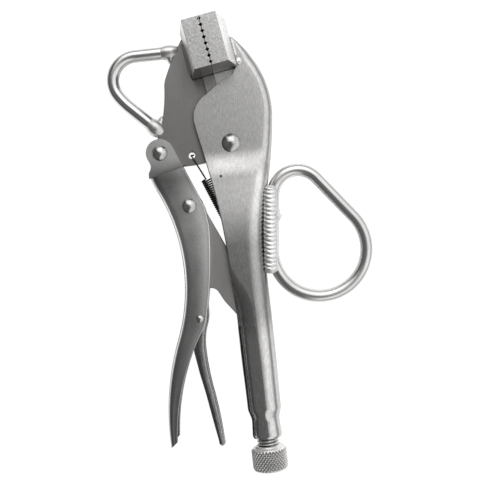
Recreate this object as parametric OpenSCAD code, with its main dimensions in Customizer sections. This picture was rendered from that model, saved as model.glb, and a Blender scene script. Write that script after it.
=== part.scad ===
// Locking pliers with welded block jaws, a pull ring and a jaw loop, lying on one side.
// +Y runs along the adjusting screw from its knob towards the jaws, +X points to the
// back of the fixed jaw, +Z is up, and the origin is the middle of the grip.
// Lengths are in millimetres and angles in degrees.

/* [Sheet metal] */
// Thickness of the folded sheet of the handle and the lever
sheet_t = 2.5; // [2.3:0.05:2.6]
// Half of the outer width of handle and lever beside the jaw plate
narrow_half = 6.1; // [6.1:0.05:6.3]
// Half of the outer width of the fixed handle's grip, and the radius of its tube
grip_half = 8.7; // [8.6:0.05:8.9]
// Half of the outer width of the hand lever's grip
lever_half = 8; // [7.9:0.05:8.2]
// Outside radius of the folded edges
bend_r = 3.5; // [3.2:0.1:3.8]
// Thickness of the release lever's sheet
release_t = 1.8; // [1.5:0.1:2]
// Half of the outer width of the release lever
release_half = 5; // [4.6:0.1:5.1]

/* [Jaws] */
// Length of both jaw blocks along the line where they meet
block_len = 24; // [20:1:24]
// Width of both jaw blocks
block_width = 50; // [40:1:60]
// Thickness of the moving block at its middle
moving_block_t = 10.6; // [9.5:0.1:10.6]
// Thickness of the fixed block at its middle
fixed_block_t = 12.7; // [12.5:0.1:13]
// Thickness of both blocks at their ends
block_end_t = 8.4; // [7:0.1:9]
// Distance between the tooth grooves
tooth_pitch = 3; // [2.5:0.1:3]
// Width of a tooth groove
groove_w = 1.7; // [1:0.1:2]
// Thickness of the moving jaw's plate
jaw_plate_t = 5; // [4:0.1:5.4]
// Thickness of the moving jaw's neck and hub
jaw_neck_t = 6.6; // [6:0.1:6.6]

/* [Rods and rivets] */
// Diameter of the rod that the pull ring and the jaw loop are bent from
rod_d = 6.3; // [6:0.1:6.5]
// Shank diameter of the main rivet
main_rivet_d = 7; // [6:0.1:7.5]
// Diameter of the main rivet's domed heads
main_head_d = 9.5; // [9:0.1:10.5]
// Shank diameter of the two large rivets of the lever
lever_rivet_d = 5.6; // [5:0.1:6]
// Diameter of the domed heads on the two large rivets of the lever
lever_head_d = 7.7; // [7.4:0.1:8.2]
// Shank diameter of the release lever's rivet
release_rivet_d = 3.2; // [3:0.1:3.4]
// Diameter of the domed heads on the release lever's rivet
release_head_d = 4.4; // [4.2:0.1:5]
// Radial play of a moving part on its rivet
rivet_play = 0.05; // [0.03:0.01:0.1]

/* [Adjusting screw] */
// Outer diameter of the screw's thread
thread_d = 10.8; // [10.4:0.1:11]
// Radial play of the screw in the swaged end of the tube
screw_play = 0.08; // [0.05:0.01:0.1]
// Diameter of the knurled knob
knob_d = 17.6; // [16:0.1:18]
// Length of the knurled knob
knob_len = 11.4; // [9:0.1:12]

/* [Hidden] */

$fn = 72;
// Half of the gap between the two jaw blocks, and between other faces that move past
half_gap = 0.05;

// Pivots of the toggle mechanism, seen from above
main_pivot = [7.2, -47.1];
ear_pivot = [-28.4, -48.2];
link_pivot = [-16.7, -75.8];
release_pivot = [-17.5, -131.4];
// Place of the adjusting screw's axis, of its tip and of the link's end above it
screw_x = 9.1;
screw_tip_y = -143.7;
link_end_y = -140.6;
link_t = 6;

// Angle of the grip line from +Y, and the width of the neck beside it
grip_tilt = 9.1;
neck_w = 5.7;
block_low = -block_len / 2;

// A path is [start point, heading, [[length, turn], ...]], a chain of tangent arcs.
// Back of the fixed handle, from the start of the tube up to the tip of its horn
handle_back = [[17.8, -133], 90.6, [[28.3, -1.7], [34.1, -13.3], [35.7, 8.2], [46.6, 56.2]]];
// Free edge of the fixed handle's cheeks, from the jaw opening down to the tube
handle_edge = [[10.7, -13.8], -163.2, [[9.5, 20.4], [9, -1.7], [14.6, 65.1], [18.4, 1], [68.4, -12.7]]];
// Back of the hand lever, from its ear down to its tip
lever_back = [[-34.8, -57.8], -79.7, [[9.4, 15.1], [76.5, -47.4], [54.3, 25.3]]];
// Free edge of the hand lever, from its widest point down to its tip
lever_edge = [[-7.9, -82.5], -91.3, [[50.3, -12.8], [5.1, -19.2], [57.9, 29.2]]];
// Back of the release lever, from its tip up to its nose
release_back = [[-12.2, -194], 92.9, [[3, 0], [22.8, 6.4], [21.4, -9], [12, -21.8], [7.5, 22.4], [5, 3]]];
// Outer edge of the moving jaw's plate, from the block down to the lever's ear
plate_edge = [[-11.9, 7.3], -122.9, [[20.9, 9.1], [4.7, 19.9], [22.3, -15.1]]];
// Centre line of the jaw loop's rod
loop_line = [[-16.9, 1.9], 180, [[19.2, 0], [26.1, 122.3], [8.6, 12.7], [17.2, 0]]];

// The pull ring's centre line wraps two circles
ring_big = [45.2, -103.9];
ring_big_r = 23.5;
ring_small = [37.5, -75.9];
ring_small_r = 12.5;

// Where the narrow front of the handle has widened to the grip, and the grip closes to the tube
handle_widens = [-56, -80];
channel_end_y = -112;
tube_from_y = -133;
mouth_end_y = -139.5;
tube_step = [-179.5, -185.5];
tube_end_y = -194;
tube_neck_r = 6.9;
tube_flare = 0.4;
knob_top_y = -198.3;
// Where the hand lever widens behind its ear
lever_widens = [-58.5, -61.5];

// The return spring, from its hole in the jaw plate to its anchor inside the handle
spring_hole = [-13, -50.6];
spring_hole_d = 3.5;
coil_from = [-6.6, -64.6];
coil_to = [4.4, -90.2];
spring_anchor = [8, -98.5];
spring_wire = 1;
spring_od = 5.2;

steel = [0.72, 0.71, 0.69];
dark_steel = [0.5, 0.49, 0.47];
bright_steel = [0.86, 0.86, 0.85];
spring_steel = [0.2, 0.2, 0.2];

// Point reached from p by a tangent arc of length l that turns by t from heading h
function arc_step(p, h, l, t) = abs(t) < 0.01
    ? p + l * [cos(h), sin(h)]
    : p + l / t * 180 / PI * [sin(h + t) - sin(h), cos(h) - cos(h + t)];

// Length of a path's segment when the path is moved to its left by d
function moved_len(segment, d) = segment[0] - d * segment[1] * PI / 180;

// Point and heading where segment i of a path starts, the path moved to its left by d
function path_state(path, i, d = 0) = i == 0
    ? [path[0] + d * [-sin(path[1]), cos(path[1])], path[1]]
    : let (before = path_state(path, i - 1, d), segment = path[2][i - 1])
        [arc_step(before[0], before[1], moved_len(segment, d), segment[1]), before[1] + segment[1]];

// Points along a path that is moved to its left by d, one about every 5 degrees of turn
function path_points(path, d = 0) = [
    for (i = [0 : len(path[2]) - 1])
        let (state = path_state(path, i, d), segment = path[2][i], steps = ceil(abs(segment[1]) / 5 + 0.1))
            for (k = [0 : steps - 1])
                arc_step(state[0], state[1], moved_len(segment, d) * k / steps, segment[1] * k / steps),
    path_state(path, len(path[2]), d)[0]
];

// Point at distance along a path
function path_at(path, distance, i = 0) =
    let (state = path_state(path, i), segment = path[2][i])
        distance > segment[0] && i < len(path[2]) - 1
            ? path_at(path, distance - segment[0], i + 1)
            : arc_step(state[0], state[1], distance, segment[1] * distance / segment[0]);

function reversed(points) = [for (i = [len(points) - 1 : -1 : 0]) points[i]];

// Outline through corners [x, y, radius], each rounded by an arc
function rounded(corners) = [
    for (i = [0 : len(corners) - 1])
        let (
            count = len(corners),
            p = [corners[i][0], corners[i][1]],
            a = corners[(i + count - 1) % count],
            b = corners[(i + 1) % count],
            u = ([a[0], a[1]] - p) / norm([a[0], a[1]] - p),
            v = ([b[0], b[1]] - p) / norm([b[0], b[1]] - p),
            half = acos(u * v) / 2,
            centre = p + (u + v) / norm(u + v) * corners[i][2] / sin(half),
            turn = (u[0] * v[1] - u[1] * v[0] > 0 ? -1 : 1) * (180 - 2 * half),
            from = atan2(p[1] - centre[1], p[0] - centre[0]) - turn / 2,
            steps = corners[i][2] > 0 ? ceil(abs(turn) / 12) : 0
        )
            for (k = [0 : steps])
                let (a = from + turn * k / max(steps, 1))
                    steps == 0 ? p : centre + corners[i][2] * [cos(a), sin(a)]
];

// A point given in the grip's own frame: s across the grip line towards +X, t along it
function grip_point(s, t) =
    [s * cos(grip_tilt) - t * sin(grip_tilt), s * sin(grip_tilt) + t * cos(grip_tilt)];

// Value at y on a straight ramp between two places
function ramp(y, at, values) =
    let (f = max(0, min(1, (y - at[0]) / (at[1] - at[0])))) values[0] + f * (values[1] - values[0]);

// Points of a quarter turn about [u, z] from a start angle
function quarter(u, z, r, from) =
    [for (k = [0 : 3]) [u + r * cos(from + 30 * k), z + r * sin(from + 30 * k)]];

// One rib of a folded channel: a ring of points from its back at b to its free edge at e,
// for half-width h, outer edge radius r and sheet thickness t
function channel_rib(b, e, h, r, t) =
    let (
        depth = norm(e - b),
        along = (e - b) / depth,
        edge = min(r, 0.4 * depth),
        wall = min(t, 0.3 * depth),
        fold = max(edge - wall, 0.3),
        profile = concat(
            [[depth, -h]], reversed(quarter(edge, edge - h, edge, 180)),
            reversed(quarter(edge, h - edge, edge, 90)), [[depth, h], [depth, h - t]],
            quarter(wall + fold, h - t - fold, fold, 90),
            quarter(wall + fold, t + fold - h, fold, 180), [[depth, t - h]]
        )
    )
        [for (p = reversed(profile)) [b[0] + along[0] * p[0], b[1] + along[1] * p[0], p[1]]];

// A solid through rings of points, closed by a flat cap at each end, or joined into a loop
module skin(rings, loop = false) {
    n = len(rings[0]);
    count = len(rings);
    last = loop ? count - 1 : count - 2;
    sides = [for (i = [0 : last], k = [0 : n - 1], half = [0, 1])
        let (a = i * n, b = (i + 1) % count * n, m = (k + 1) % n)
            half == 0 ? [a + k, b + k, b + m] : [a + k, b + m, a + m]];
    // Each cap is a strip of triangles between the ring's first half and its second half
    strip = [for (k = [0 : n / 2 - 2], half = [0, 1])
        half == 0 ? [k, k + 1, n - 2 - k] : [k, n - 2 - k, n - 1 - k]];
    caps = loop ? [] : concat(strip, [for (face = strip) reversed(face) + (count - 1) * n * [1, 1, 1]]);
    polyhedron([for (ring = rings) each ring], concat(sides, caps));
}

// Rings round a rod of diameter d along a path, which may come back to its own start
function rod_rings(path, d, closed = false) =
    let (sides = 14)
        [for (i = [0 : len(path[2]) - 1])
            let (state = path_state(path, i), segment = path[2][i], steps = ceil(abs(segment[1]) / 9 + 0.1),
                skipped = closed || i < len(path[2]) - 1 ? 1 : 0)
                for (k = [0 : steps - skipped])
                    let (p = arc_step(state[0], state[1], segment[0] * k / steps, segment[1] * k / steps),
                        h = state[1] + segment[1] * k / steps)
                        [for (j = [0 : sides - 1])
                            let (u = d / 2 * cos(360 * j / sides), z = d / 2 * sin(360 * j / sides))
                                [p[0] - u * sin(h), p[1] + u * cos(h), z]]];

// A plate of thickness t with the given outline, centred on z = 0
module plate(points, t) {
    linear_extrude(t, center = true) polygon(points);
}

// A rivet with domed heads that lie against the outer half-width h
module rivet(at, d, head_d, head_h, h) {
    dome_r = (head_d * head_d / 4 + head_h * head_h) / (2 * head_h);
    translate(at) {
        cylinder(d = d, h = 2 * h, center = true);
        for (side = [0, 1])
            mirror([0, 0, side]) translate([0, 0, h]) intersection() {
                translate([0, 0, head_h - dome_r]) sphere(dome_r);
                cylinder(d = head_d, h = head_h);
            }
    }
}

// The space of a round hole through everything at one place
module hole(at, d) {
    translate(at) cylinder(d = d, h = 60, center = true);
}

// A solid turned about the adjusting screw's axis, from points [radius, y]
module turned(points) {
    translate([screw_x, 0]) rotate([-90, 0, 0]) rotate_extrude() polygon(points);
}

// A round bar with round ends between two points
module bar(a, b, d) {
    length = norm(b - a);
    arc = [for (k = [1 : 4]) d / 2 * [sin(22.5 * k), -cos(22.5 * k)]];
    translate(a) rotate([0, acos((b[2] - a[2]) / length), atan2(b[1] - a[1], b[0] - a[0])])
        rotate_extrude()
            polygon(concat([[0, -d / 2]], arc, [for (p = reversed(arc)) [p[0], length - p[1]]],
                [[0, length + d / 2]]));
}

// The space at the jaw side of a jaw block's back, from the block's low end upwards
module block_space(s) {
    rotate(grip_tilt) translate([s - 40, block_low - 0.6, -30]) cube([40, 60, 60]);
}

// Half-width of the fixed handle at y
function handle_half(y) = ramp(y, handle_widens, [narrow_half, grip_half]);

// Rib of the fixed handle at distances along its back and along its free edge
function handle_rib(back, edge) =
    let (b = path_at(handle_back, back), e = path_at(handle_edge, edge))
        channel_rib(b, e, handle_half((b[1] + e[1]) / 2), ramp(b[1], [-100, -118], [bend_r, 6.5]), sheet_t);

// Ring across the grip at y, a rectangle in X and Z whose corners are rounded
function wall_ring(y, left, right, half, left_r, right_r) = [
    for (p = concat(
        quarter(right - right_r, half - right_r, right_r, 0),
        quarter(left + left_r, half - left_r, left_r, 90),
        quarter(left + left_r, left_r - half, left_r, 180),
        quarter(right - right_r, right_r - half, right_r, 270)
    )) [p[0], y, p[1]]
];

// The stretch where the grip's channel closes into the tube
module grip_to_tube() {
    // Both surfaces end inside the tube's wall
    inside_wall = 0.1;
    inner = grip_half - sheet_t + inside_wall;
    r = grip_half - inside_wall;
    span = [channel_end_y + 0.5, tube_from_y - 1.5];
    places = [for (f = [0 : 0.125 : 1]) ramp(f, [0, 1], span)];
    difference() {
        skin([for (y = places)
            wall_ring(y, ramp(y, span, [-0.5, screw_x - r]), ramp(y, span, [17.5, screw_x + r]), r,
                ramp(y, span, [0.3, r]), ramp(y, span, [5, r]))]);
        skin([for (y = concat([channel_end_y + 2], places, [tube_from_y - 3]))
            wall_ring(y, ramp(y, span, [-3.9, screw_x - inner]), ramp(y, span, [15.1, screw_x + inner]),
                inner, ramp(y, span, [0.3, inner]), ramp(y, span, [2.5, inner]))]);
    }
}

// The folded steel handle: a channel round the jaw that closes into a tube at the screw
module fixed_handle() {
    inner = grip_half - sheet_t;
    thread_r = thread_d / 2 + screw_play;
    mouth_w = 25;
    foot = grip_point(fixed_block_t - 0.4, block_low + 1);
    tip = grip_point(fixed_block_t - 0.4, 3.2);
    // Distances along the back and the free edge that one rib joins
    foot_back = 131;
    ribs = concat(
        [for (f = [0 : 0.125 : 1]) handle_rib(21 + 77 * f, 109.8 - 76.7 * f)],
        [for (f = [0.125 : 0.125 : 1]) handle_rib(98 + 30.5 * f, 33.1 * (1 - f))],
        [for (f = [0 : 0.2 : 1])
            channel_rib(path_at(handle_back, foot_back + f * (143.5 - foot_back)), foot + f * (tip - foot),
                narrow_half, bend_r, sheet_t)]
    );
    color(steel) difference() {
        union() {
            skin(ribs);
            grip_to_tube();
            turned([[inner, tube_from_y], [grip_half, tube_from_y], [grip_half, -150],
                [grip_half - 0.5, tube_step[0]], [tube_neck_r, tube_step[1]],
                [tube_neck_r + tube_flare, tube_end_y + 0.5], [tube_neck_r, tube_end_y],
                [thread_r, tube_end_y], [thread_r, tube_step[1]], [inner, tube_step[0]]]);
        }
        translate([screw_x - mouth_w, mouth_end_y, -3.6]) cube([mouth_w, 30, 7.2]);
        block_space(fixed_block_t);
        hole(main_pivot, main_rivet_d);
    }
}

// The solid tang of the fixed jaw, held between the handle's cheeks
module fixed_jaw_tang() {
    back = path_points(handle_back, bend_r + 0.05);
    outline = concat(
        [grip_point(half_gap + 0.1, block_low), grip_point(half_gap + 0.1, -34), [26, -38]],
        [for (p = back) if (p[1] > -37 && p[0] > 14.5) p],
        [grip_point(fixed_block_t, 0), grip_point(fixed_block_t, block_low)]
    );
    color(steel) difference() {
        plate(outline, 2 * (narrow_half - sheet_t));
        hole(main_pivot, 24);
    }
}

// A jaw block: its toothed face at s = 0, its back slanting towards both ends
module jaw_block(middle_t, flat_half) {
    depth = groove_w / 2;
    count = floor(block_len / tooth_pitch);
    end = block_width / 2;
    difference() {
        rotate([-90, 0, 0]) linear_extrude(block_len, center = true)
            polygon([[half_gap, -end], [block_end_t, -end], [middle_t, -flat_half],
                [middle_t, flat_half], [block_end_t, end], [half_gap, end]]);
        for (i = [0 : count - 1])
            translate([half_gap, (i - (count - 1) / 2) * tooth_pitch, 0])
                linear_extrude(block_width + 2, center = true)
                    polygon([[-0.1, -depth - 0.1], [-0.1, depth + 0.1], [depth, 0]]);
    }
}

module fixed_jaw_block() {
    color(steel) rotate(grip_tilt) jaw_block(fixed_block_t, narrow_half);
}

module moving_jaw_block() {
    color(steel) rotate(grip_tilt) mirror([1, 0, 0]) jaw_block(moving_block_t, jaw_plate_t / 2);
}

// Welds along both cheeks of the horn, behind the fixed block
module fixed_block_weld() {
    color(bright_steel)
        for (side = [-1, 1])
            bar(
                concat(grip_point(fixed_block_t + 0.6, block_low + 6), [side * (narrow_half + 0.2)]),
                concat(grip_point(fixed_block_t + 0.6, 1), [side * (narrow_half + 0.2)]), 2.4);
}

// A nugget of weld at the foot of the horn
module horn_weld() {
    color(bright_steel)
        bar(
            concat(grip_point(fixed_block_t + 1, block_low + 1), [narrow_half]),
            concat(grip_point(fixed_block_t + 1, block_low + 3.6), [narrow_half]), 3.6);
}

module main_rivet() {
    color(bright_steel) rivet(main_pivot, main_rivet_d, main_head_d, 2, narrow_half);
}

// The bent plate of the moving jaw, with its thicker neck and hub
module moving_jaw_plate() {
    hub_r = 10.5;
    neck = [grip_point(-half_gap - 0.1, block_low), grip_point(-neck_w, block_low),
        grip_point(-neck_w, -34), grip_point(-half_gap - 0.1, -40)];
    outline = concat(
        path_points(plate_edge),
        [[-34, -50], [-26, -53.9], [-18.5, -55.5], [-10.8, -55.4], [1, -54.2], [6, -50]],
        [grip_point(-0.5, -38), grip_point(-0.5, block_low), grip_point(-moving_block_t, block_low)]
    );
    color(dark_steel) difference() {
        union() {
            plate(outline, jaw_plate_t);
            translate(ear_pivot) cylinder(r = 6.2, h = jaw_plate_t, center = true);
            translate(main_pivot) cylinder(r = hub_r, h = jaw_neck_t, center = true);
            plate(neck, jaw_neck_t);
        }
        hole(main_pivot, main_rivet_d + 2 * rivet_play);
        hole(ear_pivot, lever_rivet_d);
        hole(spring_hole, spring_hole_d);
    }
}

// Welds between the moving block's back and both faces of the jaw plate
module moving_block_weld() {
    color(bright_steel)
        for (side = [-1, 1])
            bar(
                concat(grip_point(-moving_block_t - 0.4, block_low + 3), [side * (jaw_plate_t / 2 + 0.4)]),
                concat(grip_point(-moving_block_t - 0.4, 7), [side * (jaw_plate_t / 2 + 0.4)]), 2.6);
}

module jaw_loop() {
    color(steel) skin(rod_rings(loop_line, rod_d));
}

// Welds of the jaw loop's upper end on the plate's edge
module loop_weld_top() {
    color(bright_steel) {
        bar([-20.5, 4.2, 1], [-14.6, 3.6, 1], 4.4);
        bar([-20.5, -0.6, 1], [-16.8, -3.4, 1], 4.2);
    }
}

// Welds of the jaw loop's lower end on the plate's edge
module loop_weld_bottom() {
    color(bright_steel) {
        bar([-29.4, -32.6, 1], [-25.4, -33.4, 1], 4.2);
        bar([-31, -36.6, 1], [-27.6, -38, 1], 4.2);
    }
}

module ear_rivet() {
    color(bright_steel) rivet(ear_pivot, lever_rivet_d, lever_head_d, 1.8, narrow_half + half_gap);
}

// Rib of the hand lever from a distance along its back to a point of its free edge
function lever_rib(back, e) =
    let (b = path_at(lever_back, back))
        channel_rib(b, e, ramp(b[1], lever_widens, [narrow_half, lever_half]), bend_r, sheet_t);

// The folded hand lever, open towards the fixed handle
module lever_handle() {
    ear_r = 6.9;
    shoulder = [-18.6, -54];
    bulge = [-9.3, -77];
    ribs = concat(
        [for (d = [0, 1, 4.4]) lever_rib(d, shoulder + d / 24 * (bulge - shoulder))],
        [for (f = [0.3 : 0.175 : 1]) lever_rib(24 * f, shoulder + f * (bulge - shoulder))],
        [for (f = [0.04 : 0.04 : 1]) lever_rib(24 + 115.2 * f, path_at(lever_edge, 112.4 * f))]
    );
    color(steel) difference() {
        union() {
            skin(ribs);
            for (side = [0, 1])
                mirror([0, 0, side]) translate([0, 0, narrow_half - sheet_t]) linear_extrude(sheet_t) {
                    translate(ear_pivot) circle(ear_r);
                    polygon([ear_pivot + [6.4, 2.5], ear_pivot + [0, 3], ear_pivot + [-4.7, -5],
                        [-33.9, -55.9], lever_back[0], lever_back[0] + [0.1, -0.5], shoulder + [0.1, -0.5],
                        shoulder]);
                }
        }
        hole(ear_pivot, lever_rivet_d + 2 * rivet_play);
        hole(link_pivot, lever_rivet_d);
        hole(release_pivot, release_rivet_d);
    }
}

module link_rivet() {
    color(bright_steel) rivet(link_pivot, lever_rivet_d, lever_head_d, 1.8, lever_half);
}

module release_rivet() {
    color(bright_steel) rivet(release_pivot, release_rivet_d, release_head_d, 1.2, lever_half);
}

// The forged toggle link, from its rivet in the lever to the adjusting screw's tip
module toggle_link() {
    outline = rounded([[-11.2, -74.2, 5], [-1.3, -98.4, 1], [-2, -104.6, 1.5], [4.2, -121, 12],
        [12, -134.5, 6], [12, link_end_y, 2], [7.2, link_end_y, 1], [-4.7, -124.4, 8],
        [-8.2, -117.6, 4], [-16.3, -116.6, 2], [-18.6, -104, 20], [-24.2, -78.6, 6], [-21, -68.6, 6]]);
    color(dark_steel) difference() {
        union() {
            plate(outline, link_t);
            translate(link_pivot) cylinder(r = 6.6, h = 10.6, center = true);
        }
        hole(link_pivot, lever_rivet_d + 2 * rivet_play);
    }
}

// The folded release lever, open towards the hand lever
module release_lever() {
    // Distances along the back paired with points of the free edge
    stations = [[0, [-15.3, -194.4]], [3, [-15.7, -191.4]], [13.5, [-17.6, -180.8]], [25, [-19.2, -169.2]],
        [35.5, [-20.8, -158.7]], [46, [-22.4, -148]], [55, [-22.7, -139]], [63, [-22.2, -131]],
        [69, [-21.2, -124]], [73, [-20, -118.6]]];
    ribs = [for (st = stations)
        channel_rib(path_at(release_back, st[0]), st[1], release_half, 2.2, release_t)];
    color(steel) difference() {
        union() {
            skin(ribs);
            bar([-13.5, -194.5, release_half - 2], [-13.5, -194.5, 2 - release_half], 3.6);
        }
        hole(release_pivot, release_rivet_d + 2 * rivet_play);
    }
}

// The return spring as a hollow coil body with its two hooks
module return_spring() {
    coil_len = norm(coil_to - coil_from);
    yaw = atan2(coil_to[1] - coil_from[1], coil_to[0] - coil_from[0]);
    wall_z = spring_od / 2 - spring_wire / 2;
    hook_z = jaw_plate_t / 2 + 0.9;
    step = (coil_to - coil_from) / coil_len * 0.6;
    color(spring_steel) union() {
        translate(coil_from) rotate([0, 90, yaw]) difference() {
            cylinder(d = spring_od, h = coil_len);
            translate([0, 0, -1]) cylinder(d = spring_od - 2 * spring_wire, h = coil_len + 2);
        }
        bar(concat(spring_hole, [hook_z]), concat(coil_from + step, [wall_z]), spring_wire);
        translate(concat(spring_hole, [-1])) cylinder(d = spring_wire + 0.1, h = hook_z + 1.6);
        bar(concat(coil_to - step, [wall_z]), concat(spring_anchor, [0]), spring_wire);
    }
}

// The pull ring: two bends joined by straight tangents
module pull_ring() {
    between = ring_small - ring_big;
    reach = norm(between);
    along = atan2(between[1], between[0]);
    // Angle from the line of centres to the tangent points
    tangent = acos((ring_big_r - ring_small_r) / reach);
    straight = sqrt(reach * reach - pow(ring_big_r - ring_small_r, 2));
    ring_line = [ring_big + ring_big_r * [cos(along + tangent), sin(along + tangent)], along + tangent + 90,
        [[ring_big_r * (360 - 2 * tangent) * PI / 180, 360 - 2 * tangent], [straight, 0],
            [ring_small_r * 2 * tangent * PI / 180, 2 * tangent], [straight, 0]]];
    color(steel) skin(rod_rings(ring_line, rod_d, closed = true), loop = true);
}

// The ring's own joint: a raised weld round the rod
module ring_joint_weld() {
    color(bright_steel) translate([24.2, -85.6, 0]) rotate([0, 90, 105])
        rotate_extrude() polygon([[0, -2], [3.3, -2], [3.8, -1], [3.8, 1], [3.3, 2], [0, 2]]);
}

// A weld bead between the pull ring and the handle's back
module ring_bead(side) {
    color(bright_steel) bar([23.6, -72, side * 3.3], [19.6, -111, side * 3.3], 4.4);
}

module ring_bead_front() {
    ring_bead(1);
}

module ring_bead_back() {
    ring_bead(-1);
}

// The threaded shank, as thick as its thread's crests
module adjusting_screw() {
    color(steel) turned([[0, screw_tip_y], [2.6, screw_tip_y], [4.4, screw_tip_y - 2.4],
        [thread_d / 2 - 0.6, screw_tip_y - 3], [thread_d / 2, screw_tip_y - 4],
        [thread_d / 2, knob_top_y + 0.1], [0, knob_top_y + 0.1]]);
}

// The knurled knob with its smooth collar
module adjusting_knob() {
    low = knob_top_y - 0.9 - knob_len;
    r = knob_d / 2;
    color(steel) turned([[0, knob_top_y], [6.4, knob_top_y], [6.6, knob_top_y - 0.6],
        [r - 1, knob_top_y - 1], [r, knob_top_y - 2.2],
        [r, low + 1.2], [r - 1, low], [0, low]]);
}

fixed_handle();
fixed_jaw_tang();
fixed_jaw_block();
fixed_block_weld();
horn_weld();
main_rivet();
pull_ring();
ring_joint_weld();
ring_bead_front();
ring_bead_back();
moving_jaw_plate();
moving_jaw_block();
moving_block_weld();
jaw_loop();
loop_weld_top();
loop_weld_bottom();
ear_rivet();
lever_handle();
link_rivet();
release_rivet();
toggle_link();
release_lever();
return_spring();
adjusting_screw();
adjusting_knob();
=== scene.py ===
"""Locking pliers with welded block jaws, a pull ring and a jaw loop, lying on one side.

Points and lengths below are in millimetres in the part's frame: +Y along the adjusting screw
towards the jaws, +X towards the pull ring, +Z up, and the origin in the middle of the grip.
"""

import math

import bpy
import bmesh
import numpy as np
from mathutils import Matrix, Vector, noise


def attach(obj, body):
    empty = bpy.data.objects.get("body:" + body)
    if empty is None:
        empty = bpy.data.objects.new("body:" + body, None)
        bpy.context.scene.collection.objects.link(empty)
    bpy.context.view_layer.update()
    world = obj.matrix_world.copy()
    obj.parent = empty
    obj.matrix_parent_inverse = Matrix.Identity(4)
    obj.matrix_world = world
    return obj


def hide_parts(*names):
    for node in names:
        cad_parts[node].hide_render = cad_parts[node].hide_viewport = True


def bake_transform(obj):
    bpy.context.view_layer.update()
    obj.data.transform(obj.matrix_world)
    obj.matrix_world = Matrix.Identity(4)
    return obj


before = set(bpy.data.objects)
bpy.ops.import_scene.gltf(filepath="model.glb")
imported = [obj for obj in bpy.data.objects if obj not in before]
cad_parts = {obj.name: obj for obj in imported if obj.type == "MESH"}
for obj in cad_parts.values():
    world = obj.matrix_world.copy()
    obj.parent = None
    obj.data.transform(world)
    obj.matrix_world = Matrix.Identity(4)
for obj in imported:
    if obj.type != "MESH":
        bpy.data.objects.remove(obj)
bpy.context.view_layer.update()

MM = 0.001

# Sheet metal
SHEET = 2.5
NARROW_HALF = 6.1
GRIP_HALF = 8.7
LEVER_HALF = 8.0
BACK_FLAT = 0.8
RELEASE_HALF = 5.0
RELEASE_SHEET = 1.8

# Jaw blocks: lengths along the grip line, thicknesses across it
GRIP_TILT = math.radians(9.1)
BLOCK_LEN = 24.0
BLOCK_LOW = -BLOCK_LEN / 2
BLOCK_HALF_WIDTH = 25.0
MOVING_BLOCK_T = 10.6
FIXED_BLOCK_T = 12.7
BLOCK_END_T = 8.4
TOOTH_PITCH = 3.0
GROOVE_DEPTH = 0.85
ROD_R = 3.15

# Pivots and the screw's axis
MAIN_PIVOT = (7.2, -47.1)
EAR_PIVOT = (-28.4, -48.2)
LINK_PIVOT = (-16.7, -75.8)
RELEASE_PIVOT = (-17.5, -131.4)
SCREW_X = 9.1
TUBE_FROM_Y = -133.0
TUBE_END_Y = -194.0
KNOB_TOP_Y = -198.3
MOUTH_END_Y = -139.5

# The stage, in metres
FLOOR_Z = -0.0252
VIEW_CENTRE = (0.01, -0.095)


def vec(*values):
    return np.array(values, float)


def unit(degrees):
    return vec(math.cos(math.radians(degrees)), math.sin(math.radians(degrees)))


def grip_point(s, t):
    """A point given across the grip line (s, towards +X) and along it (t)."""
    c, n = math.cos(GRIP_TILT), math.sin(GRIP_TILT)
    return vec(s * c - t * n, s * n + t * c)


def ease(x, low, high):
    """Smooth step from 0 at low to 1 at high."""
    f = min(max((x - low) / (high - low), 0.0), 1.0)
    return f * f * (3 - 2 * f)


def mix(a, b, f):
    return a + (b - a) * f


class Path:
    """A chain of tangent arcs: a start point, a heading, and (length, turn) for each arc."""

    def __init__(self, start, heading, arcs):
        self.start, self.heading, self.arcs = vec(*start), heading, arcs
        self.length = sum(length for length, _ in arcs)

    @staticmethod
    def step(point, heading, length, turn):
        if abs(turn) < 0.01:
            return point + length * unit(heading)
        radius = length / math.radians(turn)
        side = vec(-math.sin(math.radians(heading)), math.cos(math.radians(heading)))
        end_side = vec(-math.sin(math.radians(heading + turn)), math.cos(math.radians(heading + turn)))
        return point + radius * (side - end_side)

    def at(self, distance):
        """(point, heading) at a distance along the path, which runs on past its ends."""
        point, heading = self.start, self.heading
        for i, (length, turn) in enumerate(self.arcs):
            if distance <= length or i == len(self.arcs) - 1:
                part = distance / length
                return self.step(point, heading, distance, turn * part), heading + turn * part
            point, heading = self.step(point, heading, length, turn), heading + turn
            distance -= length

    def points(self, spacing, low=0.0, high=None):
        high = self.length if high is None else high
        count = max(int(round((high - low) / spacing)), 2)
        return [self.at(low + (high - low) * i / count) for i in range(count + 1)]


HANDLE_BACK = Path((17.8, -133), 90.6, [(28.3, -1.7), (34.1, -13.3), (35.7, 8.2), (46.6, 56.2)])
HANDLE_EDGE = Path((10.7, -13.8), -163.2, [(9.5, 20.4), (9, -1.7), (14.6, 65.1), (18.4, 1), (68.4, -12.7)])
LEVER_BACK = Path((-34.8, -57.8), -79.7, [(9.4, 15.1), (76.5, -47.4), (54.3, 25.3)])
LEVER_EDGE = Path((-7.9, -82.5), -91.3, [(50.3, -12.8), (5.1, -19.2), (57.9, 29.2)])
RELEASE_BACK = Path((-12.2, -194), 92.9, [(3, 0), (22.8, 6.4), (21.4, -9), (12, -21.8), (7.5, 22.4), (5, 3)])
PLATE_EDGE = Path((-11.9, 7.3), -122.9, [(20.9, 9.1), (4.7, 19.9), (22.3, -15.1)])
LOOP_LINE = Path((-16.9, 1.9), 180, [(19.2, 0), (26.1, 122.3), (8.6, 12.7), (17.2, 0)])


# ---------------------------------------------------------------- mesh building

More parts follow.
